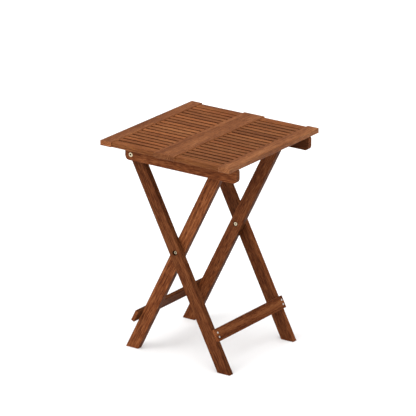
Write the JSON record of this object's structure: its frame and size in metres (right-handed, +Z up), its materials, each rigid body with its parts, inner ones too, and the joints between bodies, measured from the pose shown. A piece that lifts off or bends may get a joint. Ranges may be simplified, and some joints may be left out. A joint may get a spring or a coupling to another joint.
{
  "type": "folding side table",
  "caption": "Small square folding garden table with a slatted hardwood top on two pairs of crossed legs, joined by bolts.",
  "frame": {"origin": "on the floor under the middle of the top", "axes": "+Z up, +X along the slats towards the side away from the hinge bolts, +Y along the boards towards the back"},
  "size_m": [0.5, 0.5, 0.718],
  "materials": {
    "board_wood": "oiled reddish-brown hardwood",
    "slat_wood": "oiled reddish-brown hardwood",
    "rail_wood": "oiled reddish-brown hardwood",
    "leg_wood": "oiled reddish-brown hardwood",
    "bolt_steel": "pale yellow zinc plating",
    "screw_steel": "bright zinc plating",
    "washer_steel": "bright zinc plating"
  },
  "bodies": {
    "outer_frame": {"outer_leg_front": "leg_wood", "outer_leg_back": "leg_wood", "outer_stretcher": "leg_wood", "outer_stretcher_screws": "screw_steel", "cross_bolts": "bolt_steel", "cross_nuts": "bolt_steel", "cross_washers": "washer_steel"},
    "inner_frame": {"inner_leg_front": "leg_wood", "inner_leg_back": "leg_wood", "inner_stretcher": "leg_wood", "inner_stretcher_screws": "screw_steel", "top_bar": "leg_wood"},
    "tabletop": {"board_left": "board_wood", "board_middle": "board_wood", "board_right": "board_wood", "edge_slat_left_front": "slat_wood", "edge_slat_left_back": "slat_wood", "edge_slat_right_front": "slat_wood", "edge_slat_right_back": "slat_wood", "slat_left_01": "slat_wood", "slat_left_02": "slat_wood", "slat_left_03": "slat_wood", "slat_left_04": "slat_wood", "slat_left_05": "slat_wood", "slat_left_06": "slat_wood", "slat_left_07": "slat_wood", "slat_left_08": "slat_wood", "slat_left_09": "slat_wood", "slat_left_10": "slat_wood", "slat_left_11": "slat_wood", "slat_left_12": "slat_wood", "slat_left_13": "slat_wood", "slat_left_14": "slat_wood", "slat_left_15": "slat_wood", "slat_left_16": "slat_wood", "slat_left_17": "slat_wood", "slat_right_01": "slat_wood", "slat_right_02": "slat_wood", "slat_right_03": "slat_wood", "slat_right_04": "slat_wood", "slat_right_05": "slat_wood", "slat_right_06": "slat_wood", "slat_right_07": "slat_wood", "slat_right_08": "slat_wood", "slat_right_09": "slat_wood", "slat_right_10": "slat_wood", "slat_right_11": "slat_wood", "slat_right_12": "slat_wood", "slat_right_13": "slat_wood", "slat_right_14": "slat_wood", "slat_right_15": "slat_wood", "slat_right_16": "slat_wood", "slat_right_17": "slat_wood", "rail_front": "rail_wood", "rail_back": "rail_wood", "stop_batten": "rail_wood", "top_screws": "screw_steel", "hinge_bolts": "bolt_steel", "hinge_nuts": "bolt_steel", "hinge_washers": "washer_steel"}
  },
  "joints": [
    {"name": "leg_fold", "type": "hinge", "parent": "outer_frame", "child": "inner_frame", "pos_m": [-0.0037, 0, 0.37037], "axis": [0, -1, 0], "range_deg": [0, 53.6]},
    {"name": "top_tilt", "type": "hinge", "parent": "outer_frame", "child": "tabletop", "pos_m": [-0.1592, 0, 0.6755], "axis": [0, -1, 0], "range_deg": [0, 26.8]}
  ],
  "couplings": [
    {"joint": "top_tilt", "follows": "leg_fold", "ratio": 0.5}
  ]
}
